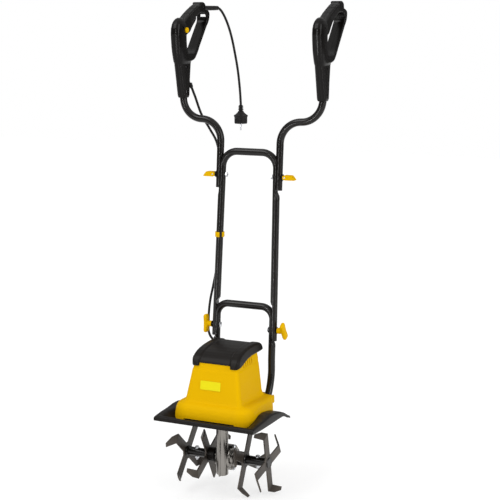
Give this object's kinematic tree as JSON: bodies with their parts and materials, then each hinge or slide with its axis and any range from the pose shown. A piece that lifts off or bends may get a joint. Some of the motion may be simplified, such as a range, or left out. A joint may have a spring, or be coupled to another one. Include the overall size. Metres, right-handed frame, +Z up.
{
  "type": "electric garden tiller",
  "caption": "Small electric garden tiller: tine wheels on a worm-gear axle, a hooded motor housing and guard, and a folding tube handlebar with two loop handles.",
  "frame": {"origin": "on the ground, at the middle of the machine's width and of its front-to-rear length without the mains lead", "axes": "+Z up, +Y to the rear where the operator stands, +X to the right as seen from the front"},
  "size_m": [0.451, 0.5975, 1.3209],
  "materials": {
    "yellow_plastic": "moulded ABS, fine satin grain, saturated yellow",
    "black_plastic": "moulded plastic, satin with a fine spark texture",
    "gloss_black_plastic": "smooth moulded plastic, gloss",
    "tube_paint": "black powder coat on steel tube, semi-gloss",
    "tine_paint": "thin dark brown-grey coating on steel plate, satin",
    "cast_alloy": "die-cast alloy, slightly rough",
    "zinc": "bright zinc plating",
    "steel": "ground steel",
    "copper": "copper winding and segments",
    "bronze": "cast bronze",
    "rubber": "matt black rubber",
    "dark_composite": "glass-filled nylon, dark grey"
  },
  "bodies": {
    "chassis": {"gearbox_left_half": "cast_alloy", "gearbox_right_half": "cast_alloy", "gearbox_bolt_1": "zinc", "gearbox_bolt_2": "zinc", "gearbox_bolt_3": "zinc", "left_axle_bearing": "steel", "right_axle_bearing": "steel", "left_axle_seal": "rubber", "right_axle_seal": "rubber", "lower_motor_bearing": "steel", "upper_motor_bearing": "steel", "stator": "steel", "brush_bracket": "dark_composite", "tine_guard": "black_plastic", "motor_housing": "yellow_plastic", "top_cover": "black_plastic", "front_label_plate": "yellow_plastic", "motor_base_plate": "dark_composite", "lower_frame": "tube_paint", "left_knob_bolt": "zinc", "right_knob_bolt": "zinc", "lower_supply_cable": "rubber"},
    "tine_rotor": {"left_outer_tines": "tine_paint", "left_inner_tines": "tine_paint", "right_outer_tines": "tine_paint", "right_inner_tines": "tine_paint", "left_tine_hub": "tube_paint", "right_tine_hub": "tube_paint", "left_hub_bolt": "zinc", "right_hub_bolt": "zinc", "axle_shaft": "steel", "worm_wheel": "bronze"},
    "motor_rotor": {"motor_shaft": "steel", "armature": "copper", "commutator": "copper", "cooling_fan": "dark_composite"},
    "middle_frame_assembly": {"middle_frame": "tube_paint", "left_lever_bolt": "zinc", "right_lever_bolt": "zinc", "middle_supply_cable": "rubber", "cable_clip": "yellow_plastic"},
    "left_handle": {"left_upper_tube": "tube_paint", "left_handle_outer_shell": "gloss_black_plastic", "left_handle_inner_shell": "gloss_black_plastic", "power_switch": "dark_composite", "lead_strain_relief": "rubber", "mains_lead": "rubber", "mains_plug": "rubber", "plug_pin_a": "zinc", "plug_pin_b": "zinc", "upper_supply_cable": "rubber"},
    "right_handle": {"right_upper_tube": "tube_paint", "right_handle_outer_shell": "gloss_black_plastic", "right_handle_inner_shell": "gloss_black_plastic"},
    "left_clamp_knob": {"left_clamp_knob": "yellow_plastic"},
    "right_clamp_knob": {"right_clamp_knob": "yellow_plastic"},
    "left_cam_lever": {"left_cam_lever": "yellow_plastic"},
    "right_cam_lever": {"right_cam_lever": "yellow_plastic"},
    "trigger": {"trigger": "black_plastic"},
    "lock_off_button": {"lock_off_button": "yellow_plastic"}
  },
  "joints": [
    {"name": "tine_spin", "type": "hinge", "parent": "chassis", "child": "tine_rotor", "pos_m": [0, -0.0715, 0.1], "axis": [1, 0, 0], "continuous": true},
    {"name": "motor_spin", "type": "hinge", "parent": "chassis", "child": "motor_rotor", "pos_m": [0, -0.1015, 0.2], "axis": [0, 0, 1], "continuous": true},
    {"name": "middle_fold", "type": "hinge", "parent": "chassis", "child": "middle_frame_assembly", "pos_m": [0, 0.03972, 0.438], "axis": [1, 0, 0], "range_deg": [0, 110]},
    {"name": "left_handle_fold", "type": "hinge", "parent": "middle_frame_assembly", "child": "left_handle", "pos_m": [-0.089, 0.07037, 0.855], "axis": [-1, 0, 0], "range_deg": [0, 120]},
    {"name": "right_handle_fold", "type": "hinge", "parent": "middle_frame_assembly", "child": "right_handle", "pos_m": [0.089, 0.07037, 0.855], "axis": [-1, 0, 0], "range_deg": [0, 120]},
    {"name": "left_knob_turn", "type": "hinge", "parent": "chassis", "child": "left_clamp_knob", "pos_m": [-0.11, 0.03972, 0.438], "axis": [-1, 0, 0], "continuous": true},
    {"name": "right_knob_turn", "type": "hinge", "parent": "chassis", "child": "right_clamp_knob", "pos_m": [0.11, 0.03972, 0.438], "axis": [1, 0, 0], "continuous": true},
    {"name": "left_lever_swing", "type": "hinge", "parent": "middle_frame_assembly", "child": "left_cam_lever", "pos_m": [-0.108, 0.07037, 0.855], "axis": [0, -1, 0], "range_deg": [0, 90]},
    {"name": "right_lever_swing", "type": "hinge", "parent": "middle_frame_assembly", "child": "right_cam_lever", "pos_m": [0.108, 0.07037, 0.855], "axis": [0, 1, 0], "range_deg": [0, 90]},
    {"name": "trigger_squeeze", "type": "hinge", "parent": "left_handle", "child": "trigger", "pos_m": [-0.208, 0.1485, 1.2775], "axis": [-1, 0, 0], "range_deg": [0, 8], "stiffness_Nm_per_rad": 2, "springref_deg": -5.73},
    {"name": "lock_button_push", "type": "slide", "parent": "left_handle", "child": "lock_off_button", "axis": [-1, 0, 0], "range_m": [0, 0.004], "stiffness_N_per_m": 400, "springref_m": -0.003}
  ],
  "couplings": [
    {"joint": "motor_spin", "follows": "tine_spin", "ratio": 28}
  ]
}
